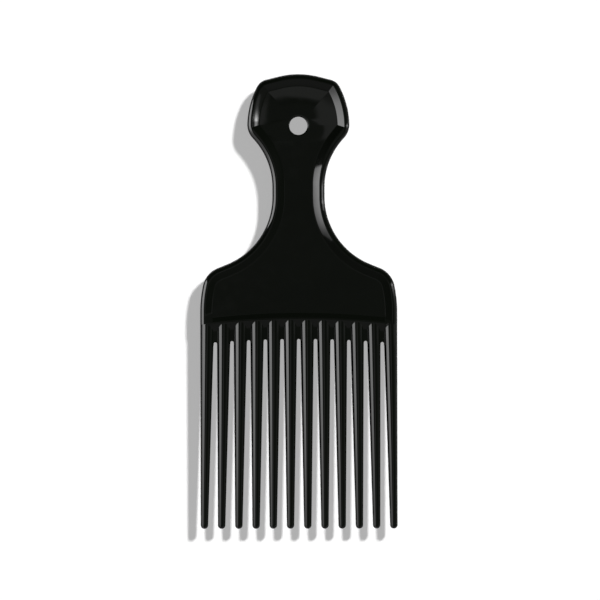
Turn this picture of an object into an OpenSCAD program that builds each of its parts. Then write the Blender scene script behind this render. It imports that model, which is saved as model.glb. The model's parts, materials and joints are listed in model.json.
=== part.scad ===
// Afro pick, one glossy black moulding, divided into the solids of its regions.
// It lies on its back. X is the width, Y the length with the head at +Y, Z the thickness.

/* [Thickness] */
// Thickness over the raised rim
thick = 5; // [4.8:0.1:7]
// Depth of the recess inside the rim of the head, on each face
recess = 1.2; // [0.8:0.1:1.6]
// Depth of the recess at the tooth bar, to which its floor rises evenly below the head
bar_recess = 0.4; // [0.2:0.05:0.7]

/* [Rim] */
// Radius of the rounded outer edge
edge_r = 1.4; // [0.8:0.1:1.8]
// Width of the flat crest of the rim
land_w = 0.4; // [0.3:0.05:0.8]
// Width of the bevel from the crest down to the recess
bevel_w = 2.4; // [1.6:0.1:3]
// Radius left on the crisp mitres of the bevel
mitre_r = 0.4; // [0.3:0.05:0.8]

/* [Head] */
// Width over the side corners of the head, before they are rounded
head_w = 36.1; // [32:0.5:42]
// Width between the upper corners of the head, before they are rounded
brow_w = 27; // [23:0.5:30]
// Fall of the curved top from its middle to the upper corners
crown_h = 3.4; // [2.6:0.1:4.5]
// Height from the upper corners to the bend of the cheeks
brow_h = 8.1; // [6.5:0.1:10]
// Height from the bend of the cheeks to the side corners
cheek_h = 9.7; // [8:0.1:12]
// Set-in of the bend of the cheeks from the side corners
cheek_in = 0.2; // [0.1:0.05:0.6]
// Height from the side corners to the top of the neck
throat_h = 10; // [8:0.1:12]
// Radius of the curved top
crown_r = 29; // [24:0.5:36]
// Radius of the upper corners
brow_r = 4.8; // [4:0.1:7]
// Radius of the cheeks
cheek_r = 29.5; // [24:0.5:36]
// Radius of the side corners
jaw_r = 6.8; // [5:0.1:9]

/* [Hanging hole] */
// Diameter of the hanging hole
hole_d = 6.4; // [4.5:0.1:8]
// Distance from the side corners up to the centre of the hole
hole_up = 2.1; // [1:0.1:4]
// Chamfer round both ends of the hole
hole_chamfer = 0.4; // [0.2:0.05:0.5]

/* [Neck] */
// Width of the neck at its narrowest
neck_w = 18.4; // [15:0.2:22]
// Length of the neck between its two curves
neck_len = 30.2; // [27:0.2:36]
// Radius of the curve from head to neck
throat_r = 25.4; // [20:0.2:30]
// Radius of the curve from neck to shoulder
flare_r = 25.6; // [20:0.2:30]

/* [Shoulders] */
// Width over the shoulders and the teeth
body_w = 69.5; // [64:0.5:76]
// Height from the end of the neck curve to the shoulder corners
flare_h = 9.7; // [8:0.1:12]
// Height from the shoulder corners to the start of the straight sides
shoulder_h = 9.5; // [8:0.1:12]
// Set-in of the shoulder corners from the sides
shoulder_in = 1.8; // [1.2:0.1:2.4]
// Height of the straight sides above the ends of the slots
side_h = 13.7; // [13:0.1:16]
// Radius of the shoulder corners
shoulder_r = 8.5; // [6.5:0.1:10]
// Radius that blends the shoulders into the sides
side_r = 44; // [34:1:54]

/* [Tooth bar] */
// Height of the bar above the ends of the slots, on the centre line
bar_h = 9.2; // [8.4:0.1:10]
// Radius of the arc that the bar follows
bar_arc_r = 280; // [220:5:360]
// Width of the bevel on the head side of the bar
bar_bevel_w = 1.7; // [1.2:0.1:2.2]
// Width of the flat crest of the bar
bar_land_w = 0.6; // [0.4:0.1:1]
// Width of the slope from the crest down to the webs
bar_slope_w = 2.5; // [1.8:0.1:3]
// Thickness of the webs between the tooth roots
web_t = 2.2; // [1.6:0.1:3]
// Radius of the arc through the ends of the slots
slot_arc_r = 380; // [300:5:460]

/* [Teeth] */
// Length of the teeth below the ends of the slots
tooth_len = 67; // [50:0.5:80]
// Diameter of a tooth at the ends of the slots
tooth_root_d = 4.7; // [4:0.05:4.75]
// Diameter of a tooth at its tip, before rounding
tooth_tip_d = 2.6; // [1.6:0.05:3]
// Length of tooth that stays with the bar, below the ends of the slots
root_h = 2.6; // [2.3:0.1:4]

/* [Hidden] */

PLASTIC = [0.05, 0.05, 0.055];
$fn = 48;
teeth = 12;
arc_steps = 12;
edge_steps = 4;
bar_steps = 24;
tip_steps = 6;
// Overrun of every cut past the face that it leaves
overrun = 0.5;

half_t = thick / 2;
panel_z = half_t - recess;
crest_in = edge_r + land_w;
foot_in = crest_in + bevel_w;

// Heights of the corners of the outline above the ends of the slots
shoulder_y = side_h + shoulder_h;
flare_y = shoulder_y + flare_h;
throat_y = flare_y + neck_len;
jaw_y = throat_y + throat_h;
cheek_y = jaw_y + cheek_h;
brow_y = cheek_y + brow_h;
crown_y = brow_y + crown_h;
hole_y = jaw_y + hole_up;

// Levels of the bar, and of the rim where it runs out against the bar
foot_x = body_w / 2 - foot_in;
crest_y = bar_h - bar_bevel_w;
slope_y = crest_y - bar_land_w;
web_y = slope_y - bar_slope_w;
side_drop = drop(bar_arc_r, foot_x);
rim_foot_y = bar_h - side_drop;
rim_crest_y = crest_y - side_drop;
rim_end_y = slope_y - side_drop;

// Pitch of the teeth, so that the outer flanks of the end teeth run on from the sides
root_pitch = (body_w - tooth_root_d) / (teeth - 1);
tip_pitch = (body_w - tooth_tip_d) / (teeth - 1);
taper = (tooth_root_d - tooth_tip_d) / 2 / tooth_len;
slot_w = root_pitch - tooth_root_d;

// Corners of the right half of the outline, from the top middle down: place and radius
CORNERS = [
    [[0, crown_y], crown_r],
    [[brow_w / 2, brow_y], brow_r],
    [[head_w / 2 - cheek_in, cheek_y], cheek_r],
    [[head_w / 2, jaw_y], jaw_r],
    [[neck_w / 2, throat_y], throat_r],
    [[neck_w / 2, flare_y], flare_r],
    [[body_w / 2 - shoulder_in, shoulder_y], shoulder_r],
    [[body_w / 2, side_h], side_r],
    [[body_w / 2, 0], 0]
];
BROW = 1;
JAW = 3;
THROAT = 4;
FLARE = 5;
last = len(CORNERS) - 1;

// Stations along the rim at which it is divided
head_split = station(THROAT) + arc_steps / 4;
neck_split = station(FLARE) + arc_steps / 2;
foot_station = station(last);
end_station = foot_station + 2;

// Fall of an arc of radius r at the distance x from the centre line
function drop(r, x) = r - sqrt(r * r - x * x);

function unit(v) = v / norm(v);
function corner(i) = CORNERS[i][0];

// Direction of the outline leaving corner i, and its normal towards the inside
function way(i) =
    i < 0 ? [way(0)[0], -way(0)[1]] :
    i >= last ? [0, -1] :
    unit(corner(i + 1) - corner(i));
function inward(i) = [way(i)[1], -way(i)[0]];

// Angle through which the outline turns at corner i, negative where it is convex
function turn(i) =
    let (a = way(i - 1), b = way(i))
    atan2(a[0] * b[1] - a[1] * b[0], a * b);

// Corner i of the outline moved inwards by d
function inset_corner(i, d) =
    let (a = inward(i - 1), b = inward(i))
    corner(i) + d * (a + b) / (1 + a * b);

// Radius at corner i, d inside the outline. Crisp corners keep only the radius of a mitre.
function inset_radius(i, d, crisp) =
    turn(i) > 0 ? CORNERS[i][1] + d :
    crisp && (i == BROW || i == JAW) ? mitre_r :
    max(CORNERS[i][1] - d, mitre_r);

// Length that the rounding of corner i takes from each of its sides, if there is room
function bite(i, d, crisp) =
    i == last ? 0 :
    inset_radius(i, d, crisp) * tan(abs(turn(i)) / 2);
function side_len(i, d) = norm(inset_corner(i + 1, d) - inset_corner(i, d));
function fit_to(room, need) = need > room ? room / need : 1;
function fit(i, d, crisp) =
    let (b = bite(i, d, crisp),
         before = i == 0 ? 1 : fit_to(side_len(i - 1, d), bite(i - 1, d, crisp) + b),
         after = fit_to(side_len(i, d), b + bite(i + 1, d, crisp)))
    min(before, after);

// Points of the rounding of corner i, from step k0 to the last step
function rounding(i, d, crisp, k0 = 0) =
    let (s = fit(i, d, crisp),
         r = inset_radius(i, d, crisp) * s,
         start = inset_corner(i, d) - way(i - 1) * bite(i, d, crisp) * s,
         side = turn(i) < 0 ? 1 : -1,
         centre = start + inward(i - 1) * r * side,
         ray = start - centre,
         a0 = atan2(ray[1], ray[0]))
    [for (k = [k0:arc_steps])
        let (a = a0 + turn(i) * k / arc_steps)
        centre + r * [cos(a), sin(a)]];

// Right half of the outline, d inside it, from the top middle down to the bar
function half_loop(d, crisp) = concat(
    rounding(0, d, crisp, arc_steps / 2),
    [for (i = [1:last - 1]) each rounding(i, d, crisp)],
    [for (y = [rim_foot_y, rim_crest_y, rim_end_y]) [body_w / 2 - d, y]]);

// Number of the first point of corner i in such a half
function station(i) = arc_steps / 2 + 1 + (i - 1) * (arc_steps + 1);

// Upper half of the rim's section, from the foot of its bevel to the outer side
EDGE = [for (k = [0:edge_steps])
    let (a = 90 - 90 * k / edge_steps)
    [edge_r * (1 - cos(a)), half_t - edge_r * (1 - sin(a))]];
SECTION = concat([[foot_in, panel_z], [crest_in, half_t]], EDGE);
LOOPS = [for (p = SECTION) half_loop(p[0], p[0] > edge_r)];
FOOT_LOOP = LOOPS[0];

// Floor of the recess: level in the head, and an even ramp from there to the bar
ramp_top_y = FOOT_LOOP[head_split][1];
ramp_rise = (recess - bar_recess) / (ramp_top_y - bar_h);
function ramp_z(y) = panel_z + ramp_rise * (ramp_top_y - y);
function floor_z(y) = max(panel_z, ramp_z(y));

// Height of section point j at a station: the foot climbs to the crest against the bar
function section_z(j, s) =
    j > 0 ? SECTION[j][1] :
    s > foot_station ? half_t :
    floor_z(FOOT_LOOP[s][1]);

// Point j of the section at station s, where stations left of the middle are negative
function rim_point(s, j, up) =
    let (p = LOOPS[j][abs(s)])
    [s < 0 ? -p[0] : p[0], p[1], section_z(j, abs(s)) * up];
function ring(s) = concat(
    [for (j = [0:len(SECTION) - 1]) rim_point(s, j, 1)],
    [for (j = [len(SECTION) - 1:-1:0]) rim_point(s, j, -1)]);

// Closed skin over rows of points: bands between the rows and a ladder of faces at each end
function band(n, row, k) =
    let (a = row * n + k, b = row * n + (k + 1) % n)
    [[a, b, b + n], [a, b + n, a + n]];
function ladder(n, first) = [for (k = [0:n / 2 - 2])
    let (a = first + k, b = first + k + 1, c = first + n - 2 - k, d = first + n - 1 - k)
    each [[a, c, b], [a, d, c]]];
function flipped(faces) = [for (f = faces) [f[0], f[2], f[1]]];
module skin(rows) {
    n = len(rows[0]);
    ends = (len(rows) - 1) * n;
    polyhedron(
        points = [for (r = rows) each r],
        faces = concat(
            [for (row = [0:len(rows) - 2], k = [0:n - 1]) each band(n, row, k)],
            ladder(n, 0),
            flipped(ladder(n, ends))),
        convexity = 6);
}

// Places its children in the frame of the whole part, its back on the ground plane
module in_place() {
    top = LOOPS[len(LOOPS) - 1][0][1];
    translate([0, (tooth_len - top) / 2, half_t])
        children();
}

// Stretch of rim between two stations
module rim(s0, s1) {
    skin([for (s = [s0:s1]) ring(s)]);
}

// Stretch of the recessed web between two stations, closed by extra points below
function web_points(s0, s1, below = []) = concat(
    [for (s = [s0:s1]) FOOT_LOOP[s]],
    below,
    [for (s = [s1:-1:max(s0, 1)]) [-FOOT_LOOP[s][0], FOOT_LOOP[s][1]]]);
module web(points, height) {
    linear_extrude(height, center = true, convexity = 4)
        polygon(points);
}

// Web that thickens along the ramp: its outline seen from above, cut by its outline seen from the side
module ramp_web(points) {
    low = rim_foot_y - overrun;
    high = ramp_top_y + overrun;
    intersection() {
        web(points, thick);
        rotate([90, 0, 90])
            linear_extrude(body_w, center = true)
                polygon([[low, -ramp_z(low)], [high, -ramp_z(high)], [high, ramp_z(high)], [low, ramp_z(low)]]);
    }
}

// Places on the bar, evenly spaced, and points along an arc through them
function bar_x(k) = foot_x * (1 - 2 * k / bar_steps);
function bar_arc(y) = [for (k = [1:bar_steps - 1])
    [bar_x(k), y - drop(bar_arc_r, bar_x(k))]];

module head_panel() {
    color(PLASTIC) in_place() difference() {
        web(web_points(0, head_split), 2 * panel_z);
        translate([0, hole_y, 0]) hanging_hole();
    }
}

module hanging_hole() {
    mouth_r = hole_d / 2 + hole_chamfer + overrun;
    mouth_h = hole_chamfer + overrun;
    cylinder(h = thick, d = hole_d, center = true);
    for (face = [0, 1]) mirror([0, 0, face])
        translate([0, 0, panel_z - hole_chamfer])
            cylinder(h = mouth_h, r1 = hole_d / 2, r2 = mouth_r);
}

module head_rim() {
    color(PLASTIC) in_place() rim(-head_split, head_split);
}

module neck_panel() {
    color(PLASTIC) in_place() ramp_web(web_points(head_split, neck_split));
}

module neck_rim_right() {
    color(PLASTIC) in_place() rim(head_split, neck_split);
}

module neck_rim_left() {
    color(PLASTIC) in_place() rim(-neck_split, -head_split);
}

module shoulder_panel() {
    color(PLASTIC) in_place() ramp_web(web_points(neck_split, foot_station, bar_arc(bar_h)));
}

module shoulder_rim_right() {
    color(PLASTIC) in_place() rim(neck_split, end_station);
}

module shoulder_rim_left() {
    color(PLASTIC) in_place() rim(-end_station, -neck_split);
}

// Radius of a tooth at the distance s below the ends of the slots
function tooth_r(s) = tooth_root_d / 2 - taper * s;

// Places its children at the root of tooth i, with their Z along the tooth
module along_tooth(i) {
    n = i - (teeth + 1) / 2;
    lean = atan(n * (tip_pitch - root_pitch) / tooth_len);
    translate([n * root_pitch, 0, 0])
        rotate([90, 0, 0])
            rotate([0, lean, 0])
                children();
}

// Tapered round tooth with a ball end, from where the bar stops down to the tip
module tooth(i) {
    lean = atan(taper);
    ball_r = tooth_tip_d / 2 * cos(lean) / (1 - sin(lean));
    tip = [for (k = [0:tip_steps])
        let (a = lean + (90 - lean) * k / tip_steps)
        [ball_r * cos(a), tooth_len - ball_r + ball_r * sin(a)]];
    color(PLASTIC) in_place() along_tooth(i)
        rotate_extrude()
            polygon(concat([[0, root_h], [tooth_r(root_h), root_h]], tip));
}

// Root of tooth i, which runs up as a rib to the crest of the bar
module rib(i) {
    n = abs(i - (teeth + 1) / 2);
    top = (crest_y + slope_y) / 2 - drop(bar_arc_r, n * root_pitch);
    along_tooth(i)
        translate([0, 0, -top])
            cylinder(h = top + root_h, r1 = min(tooth_r(-top), half_t), r2 = tooth_r(root_h));
}

// Row of points round the bar's section at x
function bar_row(x, levels) =
    let (fall = drop(bar_arc_r, x))
    concat(
        [for (p = levels) [x, p[0] - fall, p[1]]],
        [for (k = [len(levels) - 1:-1:0]) [x, levels[k][0] - fall, -levels[k][1]]]);

// Raised crest of the bar between the rims, with its bevel towards the head
module bar_crest() {
    skin([for (k = [0:bar_steps])
        let (x = bar_x(k), foot_z = floor_z(bar_h - drop(bar_arc_r, x)))
        bar_row(x, [[bar_h, foot_z], [crest_y, half_t], [slope_y, half_t]])]);
}

// Slope from the crest down to the webs, across the whole width
module bar_slope() {
    reach = body_w / 2 - edge_r;
    levels = [[slope_y, half_t], [web_y, web_t / 2], [0, web_t / 2]];
    xs = concat([reach], [for (k = [0:bar_steps]) bar_x(k)], [-reach]);
    skin([for (x = xs) bar_row(x, levels)]);
}

// Rounded end of the slot on the right of tooth i
module slot_end(i) {
    x = (i - teeth / 2) * root_pitch;
    r = slot_w / 2;
    reach = root_h + overrun;
    translate([x, -drop(slot_arc_r, x) - r, 0]) {
        cylinder(h = thick, r = r, center = true);
        translate([-r, -reach, -half_t]) cube([slot_w, reach, thick]);
    }
}

module tooth_bar() {
    color(PLASTIC) in_place() {
        bar_crest();
        difference() {
            union() {
                bar_slope();
                for (i = [1:teeth]) rib(i);
            }
            for (i = [1:teeth - 1]) slot_end(i);
        }
    }
}

head_panel();
head_rim();
neck_panel();
neck_rim_left();
neck_rim_right();
shoulder_panel();
shoulder_rim_left();
shoulder_rim_right();
tooth_bar();
tooth(1);  // tooth_01
tooth(2);  // tooth_02
tooth(3);  // tooth_03
tooth(4);  // tooth_04
tooth(5);  // tooth_05
tooth(6);  // tooth_06
tooth(7);  // tooth_07
tooth(8);  // tooth_08
tooth(9);  // tooth_09
tooth(10);  // tooth_10
tooth(11);  // tooth_11
tooth(12);  // tooth_12
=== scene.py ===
# %% [markdown]
# # An afro pick in glossy black plastic
# The real pick is a single injection moulding: a flat handle with a raised, bevelled rim, a hanging
# hole, and twelve long round teeth. The measured solids of its regions are loaded first as a fixed
# frame. Each region is then modelled again with the small radii and hollows of the real moulding,
# and takes the place of its plain solid.

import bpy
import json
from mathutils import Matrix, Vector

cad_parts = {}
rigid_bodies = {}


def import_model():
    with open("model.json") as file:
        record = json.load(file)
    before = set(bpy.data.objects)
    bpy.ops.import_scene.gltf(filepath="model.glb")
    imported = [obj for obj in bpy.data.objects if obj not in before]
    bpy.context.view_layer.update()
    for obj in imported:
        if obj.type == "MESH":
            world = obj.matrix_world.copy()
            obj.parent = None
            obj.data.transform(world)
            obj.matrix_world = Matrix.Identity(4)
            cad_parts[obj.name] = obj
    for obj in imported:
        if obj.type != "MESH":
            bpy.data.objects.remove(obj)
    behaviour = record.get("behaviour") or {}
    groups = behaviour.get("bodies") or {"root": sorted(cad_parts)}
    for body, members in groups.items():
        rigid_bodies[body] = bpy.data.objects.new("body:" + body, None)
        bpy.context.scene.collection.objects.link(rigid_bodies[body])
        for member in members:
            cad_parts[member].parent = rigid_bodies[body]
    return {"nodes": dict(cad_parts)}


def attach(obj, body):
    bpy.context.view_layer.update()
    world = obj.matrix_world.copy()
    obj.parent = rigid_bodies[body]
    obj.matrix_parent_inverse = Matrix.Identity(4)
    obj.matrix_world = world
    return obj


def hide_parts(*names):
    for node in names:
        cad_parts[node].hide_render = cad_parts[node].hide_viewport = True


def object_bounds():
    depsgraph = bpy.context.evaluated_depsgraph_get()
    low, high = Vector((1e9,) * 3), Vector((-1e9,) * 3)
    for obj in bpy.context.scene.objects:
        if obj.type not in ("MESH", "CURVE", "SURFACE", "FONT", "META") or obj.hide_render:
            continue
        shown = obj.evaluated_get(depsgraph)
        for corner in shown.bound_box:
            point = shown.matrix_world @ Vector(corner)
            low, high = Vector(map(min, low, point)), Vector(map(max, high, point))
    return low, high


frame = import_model()
cad_box = [list(corner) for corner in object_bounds()]
print("nodes:", len(frame["nodes"]), "box of the solids:", cad_box)

# %% Modules
import json
import math
from collections import namedtuple

import bmesh
import bpy
from mathutils import Matrix, Vector

# %% [markdown]
# ## Sizes
# A moulding is drawn as a flat outline and one section through its rim. The sizes below are those
# of the solids, in metres, and the small radii that only the finished pieces have. Heights are
# counted from the ends of the slots between the teeth, and thickness from the middle of the
# plastic, because the front and the back are mirror images. The width, the thickness and the place
# of the slots come from the box of the frame.

# %% Sizes of the rim
MM = 0.001
low, high = (Vector(corner) for corner in cad_box)
WIDTH = high.x - low.x
HALF_T = (high.z - low.z) / 2
RECESS = 1.2 * MM
BAR_RECESS = 0.4 * MM
PANEL_Z = HALF_T - RECESS
CREST_IN = 1.8 * MM
BEVEL_W = 2.4 * MM
FOOT_IN = CREST_IN + BEVEL_W
EDGE_R = 1.7 * MM
CREST_R = 0.3 * MM
FOOT_R = 0.8 * MM
MITRE_R = 0.25 * MM
print(f"rim: {2000 * HALF_T:.2f} mm thick, head panel {2000 * PANEL_Z:.2f} mm thick")

# %% Corners of the outline, right half from the top down
SIDE_Y = 13.7 * MM
SHOULDER_Y = SIDE_Y + 9.5 * MM
FLARE_Y = SHOULDER_Y + 9.7 * MM
THROAT_Y = FLARE_Y + 30.2 * MM
JAW_Y = THROAT_Y + 10 * MM
CHEEK_Y = JAW_Y + 9.7 * MM
BROW_Y = CHEEK_Y + 8.1 * MM
CROWN_Y = BROW_Y + 3.4 * MM
HEAD_X = 18.05 * MM
BROW_X = 13.5 * MM
NECK_X = 9.2 * MM
CHEEK_SET_IN = 0.2 * MM
SHOULDER_SET_IN = 1.8 * MM

Corner = namedtuple("Corner", "place radius")
CORNERS = [
    Corner(Vector((0, CROWN_Y)), 29 * MM),
    Corner(Vector((BROW_X, BROW_Y)), 4.8 * MM),
    Corner(Vector((HEAD_X - CHEEK_SET_IN, CHEEK_Y)), 29.5 * MM),
    Corner(Vector((HEAD_X, JAW_Y)), 6.8 * MM),
    Corner(Vector((NECK_X, THROAT_Y)), 25.4 * MM),
    Corner(Vector((NECK_X, FLARE_Y)), 25.6 * MM),
    Corner(Vector((WIDTH / 2 - SHOULDER_SET_IN, SHOULDER_Y)), 8.5 * MM),
    Corner(Vector((WIDTH / 2, SIDE_Y)), 44 * MM),
    Corner(Vector((WIDTH / 2, 0)), 0),
]
BROW, CHEEK, JAW, THROAT, FLARE, LAST = 1, 2, 3, 4, 5, 8
JAW_LIFT = 0.9 * MM
INNER_CORNERS = list(CORNERS)
up_the_cheek = (CORNERS[CHEEK].place - CORNERS[JAW].place).normalized()
INNER_CORNERS[JAW] = Corner(CORNERS[JAW].place + JAW_LIFT * up_the_cheek, CORNERS[JAW].radius)
print("corners on each side:", len(CORNERS))

# %% Marks along the outline, as a corner and the share of its rounding that is passed
MIDDLE_MARK = 0.5
HEAD_MARK = THROAT + 0.25
NECK_MARK = FLARE + 0.5

# %% Sizes of the tooth bar and the teeth
BAR_H = 9.2 * MM
BAR_ARC_R = 280 * MM
BAR_BEVEL_W = 1.7 * MM
CREST_Y = BAR_H - BAR_BEVEL_W
BAR_LAND_W = 0.6 * MM
BAR_SLOPE_W = 2.5 * MM
SLOPE_Y = CREST_Y - BAR_LAND_W
WEB_Y = SLOPE_Y - BAR_SLOPE_W
WEB_Z = 1.1 * MM
SLOT_ARC_R = 380 * MM
TEETH = 12
ROW_MIDDLE = (TEETH + 1) / 2
TOOTH_LEN = 67 * MM
ROOT_R = 2.35 * MM
TIP_R = 1.3 * MM
ROOT_H = 2.6 * MM
TAPER = (ROOT_R - TIP_R) / TOOTH_LEN
ROOT_PITCH = (WIDTH - 2 * ROOT_R) / (TEETH - 1)
TIP_PITCH = (WIDTH - 2 * TIP_R) / (TEETH - 1)
SLOT_R = ROOT_PITCH / 2 - ROOT_R
SLOTS_Y = low.y + TOOTH_LEN
print(f"tooth pitch {ROOT_PITCH / MM:.3f} mm, slots {2 * SLOT_R / MM:.3f} mm wide")

# %% Counts of steps, and the welding distance
ARC_STEPS = 32
EDGE_STEPS = 10
BLEND_STEPS = 6
HOLLOW_STEPS = 6
BAR_STEPS = 48
ROUND_STEPS = 64
WELD = 0.001 * MM
CREASE = math.radians(24)
print(f"steps: {ARC_STEPS} round a corner of the outline, {ROUND_STEPS} round a tooth")

# %% [markdown]
# ## The outline
# The outline is straight sides that meet in rounded corners. A rim needs that same outline many
# times, each time a little further in. Scaling would change the width of the rim from place to
# place, so the sides are moved inwards in parallel, and the radius of every corner grows or shrinks
# by the same distance. The inner edges of the brow and jaw corners stay crisp, as the bright and
# dark bevels of the real pick meet there in a sharp mitre. The mitre at the jaw starts a little
# higher than the outer corner would put it, so the inner lines have a jaw corner of their own.

# %% Directions and turns of the outline
def corner(i, crisp):
    """Corner i of the outline, or of its crisp inner lines."""
    return INNER_CORNERS[i] if crisp else CORNERS[i]


def heading(i, crisp):
    """Direction in which the outline leaves corner i."""
    if i < 0:
        first = heading(0, crisp)
        return Vector((first.x, -first.y))
    if i >= LAST:
        return Vector((0, -1))
    return (corner(i + 1, crisp).place - corner(i, crisp).place).normalized()


def inward(i, crisp):
    """Direction from the side after corner i towards the inside."""
    way = heading(i, crisp)
    return Vector((way.y, -way.x))


def turn(i, crisp):
    """Angle through which the outline turns at corner i, negative where it bulges outwards."""
    before, after = heading(i - 1, crisp), heading(i, crisp)
    return math.atan2(before.x * after.y - before.y * after.x, before.dot(after))


for i in range(LAST):
    print(f"corner {i} turns {math.degrees(turn(i, False)):.1f} degrees")

# %% Corners moved inwards
def inset_corner(i, inset, crisp):
    """Place of corner i once its two sides have moved inwards by the inset."""
    before, after = inward(i - 1, crisp), inward(i, crisp)
    return corner(i, crisp).place + inset * (before + after) / (1 + before.dot(after))


def inset_radius(i, inset, crisp):
    """Radius of corner i at the inset. Crisp brow and jaw corners keep only a mitre's radius."""
    if turn(i, crisp) > 0:
        return CORNERS[i].radius + inset
    if crisp and i in (BROW, JAW):
        return MITRE_R
    return max(CORNERS[i].radius - inset, MITRE_R)


def bite(i, inset, crisp):
    """Length that the rounding of corner i takes from each of its sides."""
    return inset_radius(i, inset, crisp) * math.tan(abs(turn(i, crisp)) / 2) if i < LAST else 0


def fit(i, inset, crisp):
    """Share of its radius for which corner i has room on both sides."""
    share = 1
    for side in (i - 1, i):
        if side >= 0:
            room = (inset_corner(side + 1, inset, crisp) - inset_corner(side, inset, crisp)).length
            share = min(share, room / (bite(side, inset, crisp) + bite(side + 1, inset, crisp)))
    return share


def rounding(i, inset, crisp):
    """Centre, first point and angle of the rounding of corner i."""
    share = fit(i, inset, crisp)
    begin = inset_corner(i, inset, crisp) - heading(i - 1, crisp) * bite(i, inset, crisp) * share
    side = 1 if turn(i, crisp) < 0 else -1
    centre = begin + inward(i - 1, crisp) * inset_radius(i, inset, crisp) * share * side
    return centre, begin, turn(i, crisp)


# %% [markdown]
# ## The floor of the recess
# The bevel of the rim is as wide at the shoulders as in the head, but it shows as a bright band
# only in the head and down the neck. So it lies flatter and flatter towards the teeth: the floor of
# the recess rises from the neck to the tooth bar, in one even ramp. A short curve eases the level
# floor of the head into the ramp.

# %% Depth of the recess
def at_mark(mark, inset, crisp):
    """Place of a mark on the outline moved inwards by the inset."""
    centre, begin, angle = rounding(int(mark), inset, crisp)
    ray = begin - centre
    ray.rotate(Matrix.Rotation(angle * (mark % 1), 2))
    return centre + ray


RAMP_TOP_Y = at_mark(HEAD_MARK, FOOT_IN, False).y
RAMP_RISE = (RECESS - BAR_RECESS) / (RAMP_TOP_Y - BAR_H)
EASE = 6 * MM


def depth(y):
    """Depth of the floor of the recess below the crest at the height y."""
    down = max(RAMP_TOP_Y + EASE - y, 0)
    fall = down * down / (2 * EASE) if down < EASE else down - EASE / 2
    return RECESS - RAMP_RISE * fall


def settle(verts):
    """Moves points drawn for the head's full recess to the depth that it has at their height."""
    for vert in verts:
        vert.co.z = HALF_T - (HALF_T - vert.co.z) * depth(vert.co.y) / RECESS


ramp_tilt = math.degrees(math.atan(RAMP_RISE))
print(f"depth at the bar {depth(BAR_H) / MM:.2f} mm, ramp {ramp_tilt:.2f} degrees")


# %% [markdown]
# ## A pen
# The outline is drawn with a single vertex, used as a pen. Extruding the vertex draws a straight
# side, and spinning it about the centre of a corner draws a true arc. Every loop drawn between the
# same two marks has the same count of vertices, so two loops can be bridged one to one into a
# smooth skin.

# %% Draw with a vertex
def pen_to(mesh, pen, place):
    """Moves the pen to a place, drawing an edge unless the pen starts there."""
    if pen is None:
        return bmesh.ops.create_vert(mesh, co=place)["vert"][0]
    drawn = bmesh.ops.extrude_vert_indiv(mesh, verts=[pen])["verts"][0]
    drawn.co = place
    return drawn


def pen_round(mesh, pen, centre, angle, steps):
    """Spins the pen about an upright axis through the centre."""
    spun = bmesh.ops.spin(
        mesh, geom=[pen], cent=centre, axis=(0, 0, 1), angle=angle, steps=steps, use_duplicate=False
    )
    return next(item for item in spun["geom_last"] if isinstance(item, bmesh.types.BMVert))


# %% Half of the outline
def draw_half(mesh, inset, height, crisp, start, stop, tail=()):
    """Draws the right half of the outline between two marks, then the tail. Returns the edges."""
    drawn_before = len(mesh.edges)
    pen = None
    for i in range(int(start), math.ceil(stop)):
        centre, begin, angle = rounding(i, inset, crisp)
        passed = max(start - i, 0)
        sweep = min(stop - i, 1) - passed
        ray = begin - centre
        ray.rotate(Matrix.Rotation(angle * passed, 2))
        pen = pen_to(mesh, pen, (centre + ray).to_3d() + Vector((0, 0, height)))
        pen = pen_round(mesh, pen, centre.to_3d(), angle * sweep, round(ARC_STEPS * sweep))
    for place in tail:
        pen = pen_to(mesh, pen, place)
    return list(mesh.edges)[drawn_before:]


# %% Mirror what is drawn
def mirror_all(mesh, axis):
    """Adds the mirror image of everything in the mesh, welded where the two halves meet."""
    everything = mesh.verts[:] + mesh.edges[:] + mesh.faces[:]
    bmesh.ops.mirror(mesh, geom=everything, axis=axis, merge_dist=WELD)


# %% [markdown]
# ## From bmesh to piece
# Each region ends as its own object, which rides on the body of the pick and stands for the solid
# of that region. Faces are shaded smooth, and only edges that turn through more than a set angle
# are marked as sharp, so the gloss runs on round the small radii and breaks where the ribs and the
# slots leave the bar.

# %% Objects of the scene
def add_object(name, data):
    """Puts a new object with the data into the scene."""
    thing = bpy.data.objects.new(name, data)
    bpy.context.scene.collection.objects.link(thing)
    return thing


def mesh_object(mesh, name):
    """Puts a bmesh into the scene as an object, and frees it."""
    data = bpy.data.meshes.new(name)
    mesh.to_mesh(data)
    mesh.free()
    return add_object(name, data)


# %% Pieces, and the material that they share, which gets its nodes further down
plastic = bpy.data.materials.new("black_plastic")


def make_piece(mesh, name, node):
    """Welds and closes a bmesh and puts it in the frame, as the piece that stands for the node."""
    bmesh.ops.remove_doubles(mesh, verts=mesh.verts, dist=WELD)
    bmesh.ops.holes_fill(mesh, edges=[edge for edge in mesh.edges if edge.is_boundary], sides=0)
    bmesh.ops.recalc_face_normals(mesh, faces=mesh.faces)
    bmesh.ops.translate(mesh, verts=mesh.verts, vec=(0, SLOTS_Y, HALF_T))
    for face in mesh.faces:
        face.smooth = True
    for edge in mesh.edges:
        edge.smooth = edge.calc_face_angle(0) < CREASE
    open_edges = sum(not edge.is_manifold for edge in mesh.edges)
    piece = mesh_object(mesh, name)
    piece.data.materials.append(plastic)
    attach(piece, "root")
    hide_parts(node)
    print(f"{name}: {len(piece.data.polygons)} faces, {open_edges} open edges")


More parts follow.
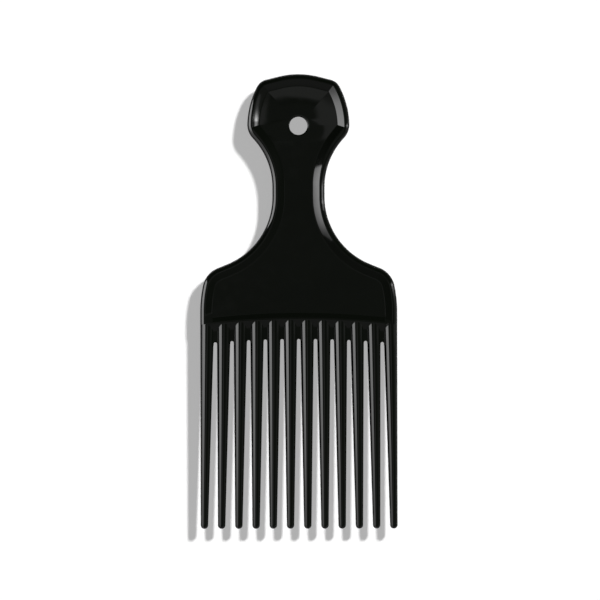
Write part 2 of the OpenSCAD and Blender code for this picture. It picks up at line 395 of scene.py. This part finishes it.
# %% [markdown]
# ## The rim
# Cut through, the rim is a rounded outer edge, a narrow crest and a bevel down to the panel. On a
# real moulding no edge is sharp, so the two bends of the bevel get small radii, and a moulded bevel
# also sinks a little, into a hollow. A curve with a bevel object could sweep such a section, but
# its inner lines could not stay crisp at the corners where its outer ones are round. So each point
# of half the section becomes a loop of the outline with corners of its own, the loops are bridged,
# and mirroring the skin adds the back. A guard loop close to the crest keeps the shading of its
# small radius off the bevel.

# %% Rounded sections
def fillet(before, place, after, radius, steps):
    """Points of the rounding of a place between its two neighbours in a section."""
    a, b = (before - place).normalized(), (after - place).normalized()
    half = a.angle(b) / 2
    centre = place + (a + b).normalized() * radius / math.sin(half)
    ray = place + a * radius / math.tan(half) - centre
    side = 1 if a.x * b.y - a.y * b.x < 0 else -1
    points = []
    for k in range(steps + 1):
        turned = ray.copy()
        turned.rotate(Matrix.Rotation(side * (math.pi - 2 * half) * k / steps, 2))
        points.append(centre + turned)
    return points


def rounded(places, radii, steps):
    """Section through the places, each rounded with its radius, or sharp if that is zero."""
    points = [places[0]]
    for k in range(1, len(places) - 1):
        if radii[k - 1]:
            points += fillet(places[k - 1], places[k], places[k + 1], radii[k - 1], steps[k - 1])
        else:
            points.append(places[k])
    return points + [places[-1]]


# %% Section of the rim
HOLLOW = 0.03 * MM
HOLLOW_R = 50 * MM
BEVEL_TILT = math.atan2(RECESS, FOOT_IN - CREST_IN)
PANEL_IN = FOOT_IN + FOOT_R * math.tan(BEVEL_TILT / 2)
GUARD_GAP = 0.02 * MM
GUARD = CREST_R * math.tan(BEVEL_TILT / 2) + GUARD_GAP
crest = Vector((CREST_IN, HALF_T))
hollow = Vector(((FOOT_IN + CREST_IN) / 2, (PANEL_Z + HALF_T) / 2 - HOLLOW))
SECTION = rounded(
    [
        Vector((PANEL_IN, 0)),
        Vector((PANEL_IN, PANEL_Z)),
        Vector((FOOT_IN, PANEL_Z)),
        hollow,
        crest + (hollow - crest).normalized() * GUARD,
        crest,
        Vector((0, HALF_T)),
        Vector((0, 0)),
    ],
    [0, FOOT_R, HOLLOW_R, 0, CREST_R, EDGE_R],
    [0, BLEND_STEPS, HOLLOW_STEPS, 0, BLEND_STEPS, EDGE_STEPS],
)
print("points in half the section of the rim:", len(SECTION))

# %% Where the rim runs out against the tooth bar
def bar_line(level, x):
    """Height at x of the bar's arc that has the level at the middle. All arcs share a centre."""
    radius = BAR_ARC_R + level - BAR_H
    return level - radius + math.sqrt(radius * radius - x * x)


FOOT_X = WIDTH / 2 - FOOT_IN


def bar_end(inset, height):
    """Places where a loop of the rim meets the bar. Inside the crest it climbs the bar's bevel."""
    x = WIDTH / 2 - inset
    inner = inset > EDGE_R and height > 0
    rise = BAR_H - (height - PANEL_Z) / RECESS * BAR_BEVEL_W if inner else BAR_H
    top = HALF_T if inner else height
    stops = [(rise, height), (CREST_Y, top), (SLOPE_Y, top)]
    return [Vector((x, bar_line(level, FOOT_X), z)) for level, z in stops]


# %% Sweep the section along the outline
def sweep_rim(start, stop, to_bar=False):
    """Upper and lower skin of the right rim between two marks."""
    mesh = bmesh.new()
    loops = []
    for inset, height in SECTION:
        tail = bar_end(inset, height) if to_bar else ()
        inner = inset > EDGE_R
        loop = draw_half(mesh, inset, height, inner, start, stop, tail)
        loops.append(loop)
        if inner and height > 0:
            settle({vert for edge in loop for vert in edge.verts})
    for inner, outer in zip(loops, loops[1:]):
        bmesh.ops.bridge_loops(mesh, edges=inner + outer)
    mirror_all(mesh, "Z")
    return mesh


def to_left(mesh):
    """Turns a piece of the right half into one of the left half."""
    bmesh.ops.scale(mesh, verts=mesh.verts, vec=(-1, 1, 1))
    return mesh


# %% Pieces of the rim
head_rim = sweep_rim(MIDDLE_MARK, HEAD_MARK)
mirror_all(head_rim, "X")
make_piece(head_rim, "rim_of_head", "head_rim")
make_piece(sweep_rim(HEAD_MARK, NECK_MARK), "rim_of_neck_right", "neck_rim_right")
make_piece(to_left(sweep_rim(HEAD_MARK, NECK_MARK)), "rim_of_neck_left", "neck_rim_left")
make_piece(sweep_rim(NECK_MARK, LAST, to_bar=True), "rim_of_shoulder_right", "shoulder_rim_right")
shoulder_left = to_left(sweep_rim(NECK_MARK, LAST, to_bar=True))
make_piece(shoulder_left, "rim_of_shoulder_left", "shoulder_rim_left")

# %% [markdown]
# ## The head panel
# The panel of the head is dished a little, as thick flat areas of a moulding sink when they cool,
# and that gives it the soft grey clouds of light that the flat panels below lack. One flat face
# can't be dished, and a square grid would meet neither the outline nor the hanging hole. So the
# mesh is a wheel: the outline is extruded inwards ring by ring, each vertex along its own spoke to
# the hole, whose edge is rounded.

# %% Sizes of the dish and the hole
HOLE_R = 3.2 * MM
HOLE_Y = JAW_Y + 2.1 * MM
HOLE_ROUND = 0.45 * MM
HOLE_STEPS = 6
DISH = 0.32 * MM
DISH_POWER = 2.4
DISH_RINGS = 24
SPOKE_GAP = 0.45 * MM
print(f"hole {2 * HOLE_R / MM:.1f} mm, dish {DISH / MM:.2f} mm deep in {DISH_RINGS} rings")


def dish(share, y, fade_from, fade_to):
    """Depth of the dish at a share of the way from hole to outline, fading out towards the neck."""
    fade = min(max((y - fade_from) / (fade_to - fade_from), 0), 1)
    return DISH * fade * fade * (3 - 2 * fade) * (1 - share**DISH_POWER)


# %% Rings of edges
def extrude_ring(mesh, ring):
    """Extrudes a ring of edges and returns the new edges and vertices."""
    made = bmesh.ops.extrude_edge_only(mesh, edges=ring)["geom"]
    verts = {item for item in made if isinstance(item, bmesh.types.BMVert)}
    edges = [item for item in made if isinstance(item, bmesh.types.BMEdge)]
    return [edge for edge in edges if verts.issuperset(edge.verts)], verts


def close_across(mesh):
    """Joins the two loose ends of a drawn line by an edge."""
    loose = [vert for vert in mesh.verts if len(vert.link_edges) == 1]
    bmesh.ops.contextual_create(mesh, geom=loose)


# %% Outline of the head panel
panel = bmesh.new()
draw_half(panel, PANEL_IN, 0, True, MIDDLE_MARK, HEAD_MARK)
mirror_all(panel, "X")
close_across(panel)
for edge in [edge for edge in panel.edges if edge.calc_length() > SPOKE_GAP]:
    bmesh.ops.subdivide_edges(panel, edges=[edge], cuts=int(edge.calc_length() / SPOKE_GAP))
neck_end = min(vert.co.y for vert in panel.verts)
hole = Vector((0, HOLE_Y, 0))
ring, verts = extrude_ring(panel, panel.edges[:])
for vert in verts:
    vert.co.z = HALF_T - depth(vert.co.y)
print("spokes of the head panel:", len(ring))

# %% Dish of the head panel
for k in range(1, DISH_RINGS + 1):
    ring, verts = extrude_ring(panel, ring)
    for vert in verts:
        spoke = vert.co - hole
        spoke.z = 0
        mouth = spoke.normalized() * (HOLE_R + HOLE_ROUND)
        vert.co = hole + spoke.lerp(mouth, 1 / (DISH_RINGS - k + 1))
        sunk = dish(1 - k / DISH_RINGS, vert.co.y, neck_end, HOLE_Y + HOLE_R)
        vert.co.z = HALF_T - depth(vert.co.y) - sunk
edge_z = min(vert.co.z for vert in verts)
print(f"web at the hole: {2 * edge_z / MM:.2f} mm thick")

# %% Rounded edge and wall of the hole
for k in range(1, HOLE_STEPS + 1):
    angle = math.pi / 2 * k / HOLE_STEPS
    ring, verts = extrude_ring(panel, ring)
    for vert in verts:
        spoke = vert.co - hole
        drop = HOLE_ROUND * (math.cos(angle - math.pi / 2 / HOLE_STEPS) - math.cos(angle))
        radius = HOLE_R + HOLE_ROUND * (1 - math.sin(angle))
        vert.co.xy = (hole + Vector((spoke.x, spoke.y, 0)).normalized() * radius).xy
        vert.co.z -= drop
ring, verts = extrude_ring(panel, ring)
for vert in verts:
    vert.co.z = 0
mirror_all(panel, "Z")
make_piece(panel, "panel_of_head", "head_panel")

# %% [markdown]
# ## The flat panels
# The neck and shoulder panels are webs with flat faces, two ramps back to back. Their outlines are
# the same lines that end the rim, so no gap shows. A flat face may have any number of corners: the
# outline is drawn in the middle of the thickness, extruded up to the ramp, closed by one face and
# mirrored.

# %% Panels between two ramps
def ramp_panel(mesh):
    """Builds a panel between its two ramps from the outline drawn halfway through it."""
    ring, verts = extrude_ring(mesh, mesh.edges[:])
    for vert in verts:
        vert.co.z = HALF_T - depth(vert.co.y)
    bmesh.ops.contextual_create(mesh, geom=ring)
    mirror_all(mesh, "Z")
    return mesh


# %% Neck panel
panel = bmesh.new()
draw_half(panel, PANEL_IN, 0, True, HEAD_MARK, NECK_MARK)
mirror_all(panel, "X")
for furthest in (max, min):
    end = furthest(vert.co.y for vert in panel.verts)
    level = [vert for vert in panel.verts if abs(vert.co.y - end) < WELD]
    bmesh.ops.contextual_create(panel, geom=level)
make_piece(ramp_panel(panel), "panel_of_neck", "neck_panel")

# %% Shoulder panel
BAR_TILT = math.atan2(RECESS, BAR_BEVEL_W)
BAR_TOP = BAR_H + CREST_R * math.tan(BAR_TILT / 2)
PANEL_X = WIDTH / 2 - PANEL_IN
BAR_CENTRE = Vector((0, BAR_H - BAR_ARC_R, 0))

panel = bmesh.new()
bar_corner = Vector((PANEL_X, bar_line(BAR_TOP, PANEL_X), 0))
draw_half(panel, PANEL_IN, 0, True, NECK_MARK, LAST, [bar_corner])
pen = min(panel.verts, key=lambda vert: (vert.co - bar_corner).length)
half_angle = math.asin(PANEL_X / (BAR_ARC_R + BAR_TOP - BAR_H))
pen_round(panel, pen, BAR_CENTRE, half_angle, BAR_STEPS // 2)
mirror_all(panel, "X")
close_across(panel)
make_piece(ramp_panel(panel), "panel_of_shoulders", "shoulder_panel")

# %% [markdown]
# ## Teeth
# A tooth is a turned part: half of its outline spun once round its axis. A cone with a ball put on
# its end would show a seam, while the turned outline has both in one skin. The axes of the outer
# teeth lean a little, so that the row keeps its width down to the tips. The roots of the teeth run
# up as ribs to the crest of the bar, and they are turned with the same count of steps, so that a
# rib runs on into its tooth without a seam.

# %% Turned parts
def along_tooth(number):
    """Matrix that puts a part turned about Z at the root of a tooth, with Z towards the tip."""
    offset = number - ROW_MIDDLE
    lean = math.atan(offset * (TIP_PITCH - ROOT_PITCH) / TOOTH_LEN)
    place = Matrix.Translation((offset * ROOT_PITCH, 0, 0))
    return place @ Matrix.Rotation(math.pi / 2, 4, "X") @ Matrix.Rotation(lean, 4, "Y")


def turn_part(mesh, profile, matrix):
    """Spins a profile of (radius, height) points once about Z, and moves it with the matrix."""
    earlier = set(mesh.verts)
    pen = None
    for radius, height in profile:
        pen = pen_to(mesh, pen, Vector((radius, 0, height)))
    drawn = [vert for vert in mesh.verts if vert not in earlier]
    edges = list({edge for vert in drawn for edge in vert.link_edges})
    bmesh.ops.spin(
        mesh, geom=edges + drawn, cent=(0, 0, 0), axis=(0, 0, 1), angle=2 * math.pi,
        steps=ROUND_STEPS, use_merge=True, use_duplicate=False,
    )
    turned = [vert for vert in mesh.verts if vert not in earlier]
    bmesh.ops.transform(mesh, matrix=matrix, verts=turned)
    bmesh.ops.remove_doubles(mesh, verts=turned, dist=WELD)


# %% Twelve teeth
TIP_STEPS = 10
cone_tilt = math.atan(TAPER)
ball_r = TIP_R * math.cos(cone_tilt) / (1 - math.sin(cone_tilt))
tooth_profile = [(0, ROOT_H), (ROOT_R - TAPER * ROOT_H, ROOT_H)]
for k in range(TIP_STEPS + 1):
    angle = cone_tilt + (math.pi / 2 - cone_tilt) * k / TIP_STEPS
    tooth_profile.append((ball_r * math.cos(angle), TOOTH_LEN - ball_r + ball_r * math.sin(angle)))
for number in range(1, TEETH + 1):
    tooth = bmesh.new()
    turn_part(tooth, tooth_profile, along_tooth(number))
    make_piece(tooth, f"tine_{number:02d}", f"tooth_{number:02d}")

# %% [markdown]
# ## The tooth bar
# The bar is a roof that follows a wide arc: a bevel up from the panel, a narrow crest, and a slope
# down to the thin webs between the roots of the teeth. Its section, with guard loops beside the
# bends of the slope, is spun about the distant centre of the arc and trimmed square to meet the
# rims. Twelve ribs are joined on, and eleven slots with round ends are cut out, both with Boolean
# modifiers, because the curves in which round ribs leave a slope are hard to draw by hand and exact
# when computed.

# %% Section of the bar
WEB_END = -SLOT_R
slope_top = Vector((SLOPE_Y, HALF_T))
slope_foot = Vector((WEB_Y, WEB_Z))
guard_step = (slope_foot - slope_top).normalized() * GUARD
section = rounded(
    [
        Vector((BAR_TOP, 0)),
        Vector((BAR_TOP, PANEL_Z)),
        Vector((BAR_H, PANEL_Z)),
        Vector((CREST_Y, HALF_T)),
        slope_top,
        slope_top + guard_step,
        slope_foot - guard_step,
        slope_foot,
        Vector((WEB_Y - GUARD, WEB_Z)),
        Vector((WEB_END, WEB_Z)),
        Vector((WEB_END, 0)),
    ],
    [0, CREST_R, CREST_R, CREST_R, 0, 0, CREST_R, 0, 0],
    [0, BLEND_STEPS, BLEND_STEPS, BLEND_STEPS, 0, 0, BLEND_STEPS, 0, 0],
)
print("points in half the section of the bar:", len(section))

# %% Ends of the bar
SLOPE_X = WIDTH / 2 - EDGE_R


def trim(mesh, x):
    """Cuts the bar off square at x, closes the cut and returns its face."""
    side = math.copysign(1, x)
    everything = mesh.verts[:] + mesh.edges[:] + mesh.faces[:]
    bmesh.ops.bisect_plane(
        mesh, geom=everything, plane_co=(x, 0, 0), plane_no=(side, 0, 0), clear_outer=True
    )
    cut = [edge for edge in mesh.edges if all(abs(vert.co.x - x) < WELD for vert in edge.verts)]
    return bmesh.ops.contextual_create(mesh, geom=cut)["faces"][0]


def add_wing(mesh, cap):
    """Carries the slope of the bar on from a trimmed end towards the side of the pick."""
    x = cap.verts[0].co.x
    bends = [Vector((x, bar_line(SLOPE_Y, x), z)) for z in (HALF_T, -HALF_T)]
    split = [min(cap.verts, key=lambda vert: (vert.co - bend).length) for bend in bends]
    bmesh.ops.connect_verts(mesh, verts=split)
    ends = [face for face in mesh.faces if all(abs(vert.co.x - x) < WELD for vert in face.verts)]
    lower = min(ends, key=lambda face: face.calc_center_median().y)
    made = bmesh.ops.extrude_face_region(mesh, geom=[lower])["geom"]
    if lower.is_valid:
        bmesh.ops.delete(mesh, geom=[lower], context="FACES_ONLY")
    reach = math.copysign(SLOPE_X, x) - x
    fall = bar_line(SLOPE_Y, SLOPE_X) - bar_line(SLOPE_Y, x)
    verts = [item for item in made if isinstance(item, bmesh.types.BMVert)]
    bmesh.ops.translate(mesh, verts=verts, vec=(reach, fall, 0))


# %% Body of the bar
bar = bmesh.new()
pen = None
for y, z in section:
    pen = pen_to(bar, pen, Vector((0, y, z)))
spread = math.asin(WIDTH / 2 / (BAR_ARC_R - BAR_H))
bmesh.ops.rotate(bar, verts=bar.verts, cent=BAR_CENTRE, matrix=Matrix.Rotation(-spread, 3, "Z"))
bmesh.ops.spin(
    bar, geom=bar.verts[:] + bar.edges[:], cent=BAR_CENTRE, axis=(0, 0, 1),
    angle=2 * spread, steps=BAR_STEPS, use_duplicate=False,
)
crest_level = BAR_ARC_R + SLOPE_Y - BAR_H
upper = [vert for vert in bar.verts if vert.co.z > 0]
settle([vert for vert in upper if (vert.co.xy - BAR_CENTRE.xy).length > crest_level])
mirror_all(bar, "Z")
for x in (PANEL_X, -PANEL_X):
    add_wing(bar, trim(bar, x))
print("faces of the bar's body:", len(bar.faces))

# %% Ribs
ribs = bmesh.new()
for number in range(1, TEETH + 1):
    x = abs(number - ROW_MIDDLE) * ROOT_PITCH
    top = bar_line(SLOPE_Y, min(x, FOOT_X))
    rib_profile = [
        (0, -top),
        (ROOT_R + TAPER * top, -top),
        (ROOT_R - TAPER * ROOT_H, ROOT_H),
        (0, ROOT_H),
    ]
    turn_part(ribs, rib_profile, along_tooth(number))
print("faces of the ribs:", len(ribs.faces))

# %% Slots
SLOT_REACH = ROOT_H + SLOT_R
slots = bmesh.new()
for number in range(1, TEETH):
    x = (number - TEETH / 2) * ROOT_PITCH
    y = -SLOT_ARC_R + math.sqrt(SLOT_ARC_R**2 - x * x) - SLOT_R
    made = bmesh.ops.create_circle(slots, cap_ends=True, segments=ROUND_STEPS, radius=SLOT_R)
    for vert in made["verts"]:
        vert.co += Vector((x, y - SLOT_REACH if vert.co.y < -WELD else y, -2 * HALF_T))
made = bmesh.ops.extrude_face_region(slots, geom=slots.faces[:])["geom"]
verts = [item for item in made if isinstance(item, bmesh.types.BMVert)]
bmesh.ops.translate(slots, verts=verts, vec=(0, 0, 4 * HALF_T))
print("faces of the slots:", len(slots.faces))

# %% Ribs joined on and slots cut out
for mesh in (bar, ribs, slots):
    bmesh.ops.recalc_face_normals(mesh, faces=mesh.faces)
helpers = [mesh_object(bar, "bar_body"), mesh_object(ribs, "ribs"), mesh_object(slots, "slots")]
for helper, operation in zip(helpers[1:], ("UNION", "DIFFERENCE")):
    step = helpers[0].modifiers.new(operation.lower(), "BOOLEAN")
    step.object = helper
    step.operation = operation
    step.solver = "EXACT"
bar = bmesh.new()
bar.from_object(helpers[0], bpy.context.evaluated_depsgraph_get())
for helper in helpers:
    bpy.data.objects.remove(helper)
make_piece(bar, "bar_of_teeth", "tooth_bar")

# %% [markdown]
# ## The plastic
# Black picks are moulded in polystyrene in polished steel, so they come out of the mould with a
# mirror gloss. The colour is mixed into the granules, and leaves a faint green-black tone that
# drifts over the width of a finger. The gloss is not perfect: the skin follows the slow unevenness
# of the cooling plastic, and handling leaves spots that are a touch more matt. All three come from
# noise in the coordinates of the object, so that the finish sits on the plastic and runs on across
# the regions of the moulding. The index of refraction is close to that of polystyrene.

# %% Math and range nodes, for the materials, the lamps and the room
def node_math(tree, operation, *values):
    """Math node, fed by sockets or fixed values."""
    node = tree.nodes.new("ShaderNodeMath")
    node.operation = operation
    for socket, value in zip(node.inputs, values):
        if isinstance(value, bpy.types.NodeSocket):
            tree.links.new(value, socket)
        else:
            socket.default_value = value
    return node.outputs[0]


def node_range(tree, value, span, ends, smooth=False):
    """Map Range node from a span of the value to the two ends."""
    node = tree.nodes.new("ShaderNodeMapRange")
    node.interpolation_type = "SMOOTHSTEP" if smooth else "LINEAR"
    tree.links.new(value, node.inputs["Value"])
    node.inputs["From Min"].default_value, node.inputs["From Max"].default_value = span
    node.inputs["To Min"].default_value, node.inputs["To Max"].default_value = ends
    return node.outputs["Result"]


# %% Ramp and noise nodes
def node_ramp(tree, value, stops):
    """Grey of a ramp through the (value, grey) stops."""
    node = tree.nodes.new("ShaderNodeValToRGB")
    while len(node.color_ramp.elements) < len(stops):
        node.color_ramp.elements.new(0.5)
    for element, (place, grey) in zip(node.color_ramp.elements, stops):
        element.position = place
        element.color = (grey, grey, grey, 1)
    tree.links.new(value, node.inputs[0])
    return node.outputs["Color"]


def node_noise(tree, place, scale, detail):
    """Noise at a place, with features of about one over the scale in metres."""
    node = tree.nodes.new("ShaderNodeTexNoise")
    node.inputs["Scale"].default_value = scale
    node.inputs["Detail"].default_value = detail
    tree.links.new(place, node.inputs["Vector"])
    return node.outputs["Fac"]


# %% Numbers of the black plastic
PLASTIC_IOR = 1.57
TONES = ((0.0014, 0.0020, 0.0012, 1), (0.0022, 0.0030, 0.0019, 1))
TONE_SCALE = 60
SPOT_SCALE = 220
SPOT_SPAN = (0.35, 0.7)
ROUGHNESS = (0.035, 0.075)
SKIN_SCALE = 320
SKIN_DEPTH = 0.0025 * MM
print(f"tone drifts over {1000 / TONE_SCALE:.0f} mm, spots over {1000 / SPOT_SCALE:.0f} mm")

# %% Black plastic
plastic.use_nodes = True
tree = plastic.node_tree
shader = tree.nodes["Principled BSDF"]
shader.inputs["IOR"].default_value = PLASTIC_IOR
on_object = tree.nodes.new("ShaderNodeTexCoord").outputs["Object"]

tone = tree.nodes.new("ShaderNodeMix")
tone.data_type = "RGBA"
tone.inputs["A"].default_value, tone.inputs["B"].default_value = TONES
tree.links.new(node_noise(tree, on_object, TONE_SCALE, 2), tone.inputs["Factor"])
tree.links.new(tone.outputs["Result"], shader.inputs["Base Color"])

matt_spots = node_range(tree, node_noise(tree, on_object, SPOT_SCALE, 4), SPOT_SPAN, ROUGHNESS)
tree.links.new(matt_spots, shader.inputs["Roughness"])

skin = tree.nodes.new("ShaderNodeBump")
skin.inputs["Strength"].default_value = 1
skin.inputs["Distance"].default_value = SKIN_DEPTH
tree.links.new(node_noise(tree, on_object, SKIN_SCALE, 1), skin.inputs["Height"])
tree.links.new(skin.outputs["Normal"], shader.inputs["Normal"])
print("nodes of the plastic:", len(tree.nodes))

# %% [markdown]
# ## The paper
# The pick is seen from straight above on white paper. The paper lies 4.6 mm below it, which gives
# the shadow the reach that it has in the photograph. To the camera the paper is pale and glows a
# little, so that it comes out white round a light grey shadow, while the light that it sends back
# onto the pick stays low.

# %% Floor
FLOOR_Z = -4.6 * MM
FLOOR_HALF = 3.0
PAPER = 0.2
PAPER_SHOWN = 0.59
PAPER_GLOW = 0.40
floor = bmesh.new()
bmesh.ops.create_grid(floor, x_segments=1, y_segments=1, size=FLOOR_HALF)
bmesh.ops.translate(floor, verts=floor.verts, vec=(0, 0, FLOOR_Z))
floor = mesh_object(floor, "floor")
paper = bpy.data.materials.new("paper")
paper.use_nodes = True
tree = paper.node_tree
matt = tree.nodes["Principled BSDF"]
matt.inputs["Roughness"].default_value = 1
matt.inputs["Specular IOR Level"].default_value = 0
matt.inputs["Emission Color"].default_value = (1, 1, 1, 1)
seen = tree.nodes.new("ShaderNodeLightPath").outputs["Is Camera Ray"]
tree.links.new(node_math(tree, "MULTIPLY", seen, PAPER_GLOW), matt.inputs["Emission Strength"])
tree.links.new(node_range(tree, seen, (0, 1), (PAPER, PAPER_SHOWN)), matt.inputs["Base Color"])
floor.data.materials.append(paper)
print(f"paper {-FLOOR_Z / MM:.1f} mm below the pick, {2 * FLOOR_HALF:.0f} m square")

# %% [markdown]
# ## Lamps
# A key light from the upper right throws the shadow, and is kept out of the reflections. The gloss
# shows two softboxes instead, a long one on the left and a small one on the right. Each is mirrored
# in the outer edges on its own side and in the bevels across the pick from it, and the left one in
# the teeth too. Both fade along their length and height, as the highlights on the plastic do.

# %% A softbox
def softbox(name, x, span_y, span_z, along, upwards, lean=(0, 0)):
    """Upright area lamp facing the pick from the side, seen only by its gloss.

    Its radiance follows the (Y, radiance) stops along it and the (Z, share) stops upwards. The
    lean adds a share of Z to the Y of the first stops, and a share of Y to the Z of the second.
    A flat lamp of pi watts for each square metre has a radiance of one, which the nodes scale.
    """
    lamp = bpy.data.lights.new(name, "AREA")
    lamp.shape = "RECTANGLE"
    lamp.size, lamp.size_y = span_y[1] - span_y[0], span_z[1] - span_z[0]
    lamp.energy = math.pi * lamp.size * lamp.size_y
    box = add_object(name, lamp)
    box.location = (x, sum(span_y) / 2, sum(span_z) / 2)
    box.rotation_euler = (math.pi / 2, 0, math.copysign(math.pi / 2, x))
    box.visible_camera = False
    box.visible_diffuse = False
    lamp.use_nodes = True
    tree = lamp.node_tree
    split = tree.nodes.new("ShaderNodeSeparateXYZ")
    tree.links.new(tree.nodes.new("ShaderNodeNewGeometry").outputs["Position"], split.inputs[0])
    brightest = max(radiance for _, radiance in along)
    stops = [((y - span_y[0]) / lamp.size, radiance / brightest) for y, radiance in along]
    place_y = node_math(tree, "MULTIPLY_ADD", split.outputs["Z"], lean[0], split.outputs["Y"])
    place_z = node_math(tree, "MULTIPLY_ADD", split.outputs["Y"], lean[1], split.outputs["Z"])
    across = node_ramp(tree, node_range(tree, place_y, span_y, (0, 1)), stops)
    share = node_math(tree, "MULTIPLY", across, node_ramp(tree, place_z, upwards))
    strength = node_math(tree, "MULTIPLY", share, brightest)
    tree.links.new(strength, tree.nodes["Emission"].inputs["Strength"])
    print(f"{name}: {lamp.size:.3f} by {lamp.size_y:.3f} m, radiance up to {brightest}")


# %% Two softboxes
softbox(
    "left_box", x=-0.5, span_y=(-1.1, 0.27), span_z=(0.035, 0.92),
    along=[
        (-1.1, 0.5), (-0.5, 0.5), (-0.2, 0.9), (-0.1, 1.3),
        (-0.01, 3.2), (0.1, 4.1), (0.268, 4.6), (0.27, 0.0),
    ],
    upwards=[(0.58, 1.0), (0.72, 0.35), (0.8, 0.1)],
    lean=(0.14, 0.83),
)
softbox(
    "right_box", x=0.22, span_y=(-0.02, 0.075), span_z=(0.01, 0.21),
    along=[
        (-0.02, 0.2), (0.013, 0.4), (0.025, 0.8), (0.035, 2.3),
        (0.045, 6.2), (0.056, 12.5), (0.061, 4.4), (0.075, 3.6),
    ],
    upwards=[(0.125, 0.4), (0.14, 0.03), (0.176, 0.03), (0.181, 1.0), (0.19, 1.0), (0.196, 0.05)],
)

# %% Key light
KEY_STRENGTH = 4.45
KEY_WIDTH = math.radians(6)
KEY_AZIMUTH = math.radians(45)
KEY_ELEVATION = math.radians(48)
key = bpy.data.lights.new("key", "SUN")
key.energy = KEY_STRENGTH
key.angle = KEY_WIDTH
sun = add_object("key", key)
towards = Vector((math.cos(KEY_AZIMUTH), math.sin(KEY_AZIMUTH), 0)) * math.cos(KEY_ELEVATION)
towards.z = math.sin(KEY_ELEVATION)
sun.rotation_euler = (-towards).to_track_quat("-Z", "Y").to_euler()
sun.visible_glossy = False
print(f"key light of {KEY_STRENGTH} from", [round(part, 2) for part in towards])

# %% [markdown]
# ## The room overhead
# The flat faces of the pick mirror the part of the ceiling round the camera, which is nearly black,
# and that keeps the panels black. An uneven ring of faint light surrounds that dark spot. Of the
# large faces only the dished head leans far enough to mirror it, as a crescent above the hole and a
# cloud on each side. Lower down the room grows lighter, except on the side of the head.

# %% Lights and darks of the room, as stops and gates on the direction in which a ray looks
CEILING = [(0.0, 0.3), (0.17, 0.25), (0.3, 0.08), (0.64, 0.07), (0.72, 0.03)]
RING_CENTRE = (0.037, 0.02, 1)
RING = [(0.0, 0.025), (0.06, 0.025), (0.076, 0.22), (0.19, 0.22), (0.22, 0.0)]
NEAR_GATE = (-0.012, 0.004)
FAR_GATE = (-0.042, -0.028)
BACK_GATE = (0.055, 0.075)
BACK_SLANT = 1.5
DIM_RING = 0.3
BACK_RING = 0.15
WINDOW = 0.07
HEAD_SIDE = (0.06, 0.6)
HEAD_SIDE_SHARE = 0.12
print(f"ceiling from {CEILING[0][1]} low down to {CEILING[-1][1]} overhead, ring {RING[2][1]}")

# %% Light of the room
world = bpy.data.worlds.new("room")
bpy.context.scene.world = world
world.use_nodes = True
tree = world.node_tree
tree.nodes.clear()
way = tree.nodes.new("ShaderNodeTexCoord").outputs["Generated"]
split = tree.nodes.new("ShaderNodeSeparateXYZ")
tree.links.new(way, split.inputs[0])
way_x, way_y, way_z = split.outputs

ceiling = node_ramp(tree, way_z, CEILING)
above = tree.nodes.new("ShaderNodeVectorMath")
above.operation = "DISTANCE"
above.inputs[1].default_value = RING_CENTRE
tree.links.new(way, above.inputs[0])
ring = node_ramp(tree, above.outputs["Value"], RING)
near = node_range(tree, way_y, NEAR_GATE, (DIM_RING, 1), smooth=True)
far = node_range(tree, way_y, FAR_GATE, (1, DIM_RING), smooth=True)
ring = node_math(tree, "MULTIPLY", ring, node_math(tree, "MAXIMUM", near, far))
slanted = node_math(tree, "MULTIPLY_ADD", way_x, BACK_SLANT, way_y)
behind = node_math(tree, "MINIMUM", way_y, slanted)
back = node_range(tree, behind, BACK_GATE, (1, BACK_RING), smooth=True)
ring = node_math(tree, "MULTIPLY", ring, back)
window = node_range(tree, way_y, (-1, 0), (WINDOW, 0), smooth=True)
dark_end = node_range(tree, way_y, HEAD_SIDE, (1, HEAD_SIDE_SHARE), smooth=True)
lit = node_math(tree, "ADD", node_math(tree, "ADD", ceiling, ring), window)
air = tree.nodes.new("ShaderNodeBackground")
air.inputs["Color"].default_value = (1, 1, 1, 1)
tree.links.new(node_math(tree, "MULTIPLY", lit, dark_end), air.inputs["Strength"])

# %% White for the camera
white = tree.nodes.new("ShaderNodeBackground")
white.inputs["Color"].default_value = (1, 1, 1, 1)
mix = tree.nodes.new("ShaderNodeMixShader")
tree.links.new(tree.nodes.new("ShaderNodeLightPath").outputs["Is Camera Ray"], mix.inputs[0])
tree.links.new(air.outputs[0], mix.inputs[1])
tree.links.new(white.outputs[0], mix.inputs[2])
tree.links.new(mix.outputs[0], tree.nodes.new("ShaderNodeOutputWorld").inputs["Surface"])
print("nodes of the room:", len(tree.nodes))

# %% [markdown]
# ## The camera
# The photograph looks straight down with hardly any perspective, so the lens is long and the camera
# far away. Its distance follows from the width of the frame at the front of the pick. The frame is
# moved off the middle by half a millimetre each way and turned by a tenth of a degree, as in the
# photograph.

# %% Camera
LENS = 300
SENSOR = 36
FRAME_W = 211.8 * MM
VIEW_X, VIEW_Y = 0.46 * MM, 0.53 * MM
ROLL = math.radians(-0.12)
lens = bpy.data.cameras.new("camera")
lens.lens = LENS
lens.sensor_width = SENSOR
camera = add_object("camera", lens)
camera.location = (VIEW_X, VIEW_Y, HALF_T + FRAME_W * LENS / SENSOR)
camera.rotation_euler = (0, 0, ROLL)
bpy.context.scene.camera = camera
bpy.context.scene.view_settings.view_transform = "Standard"
print(f"camera {camera.location.z:.3f} m up, frame {FRAME_W / MM:.1f} mm wide")
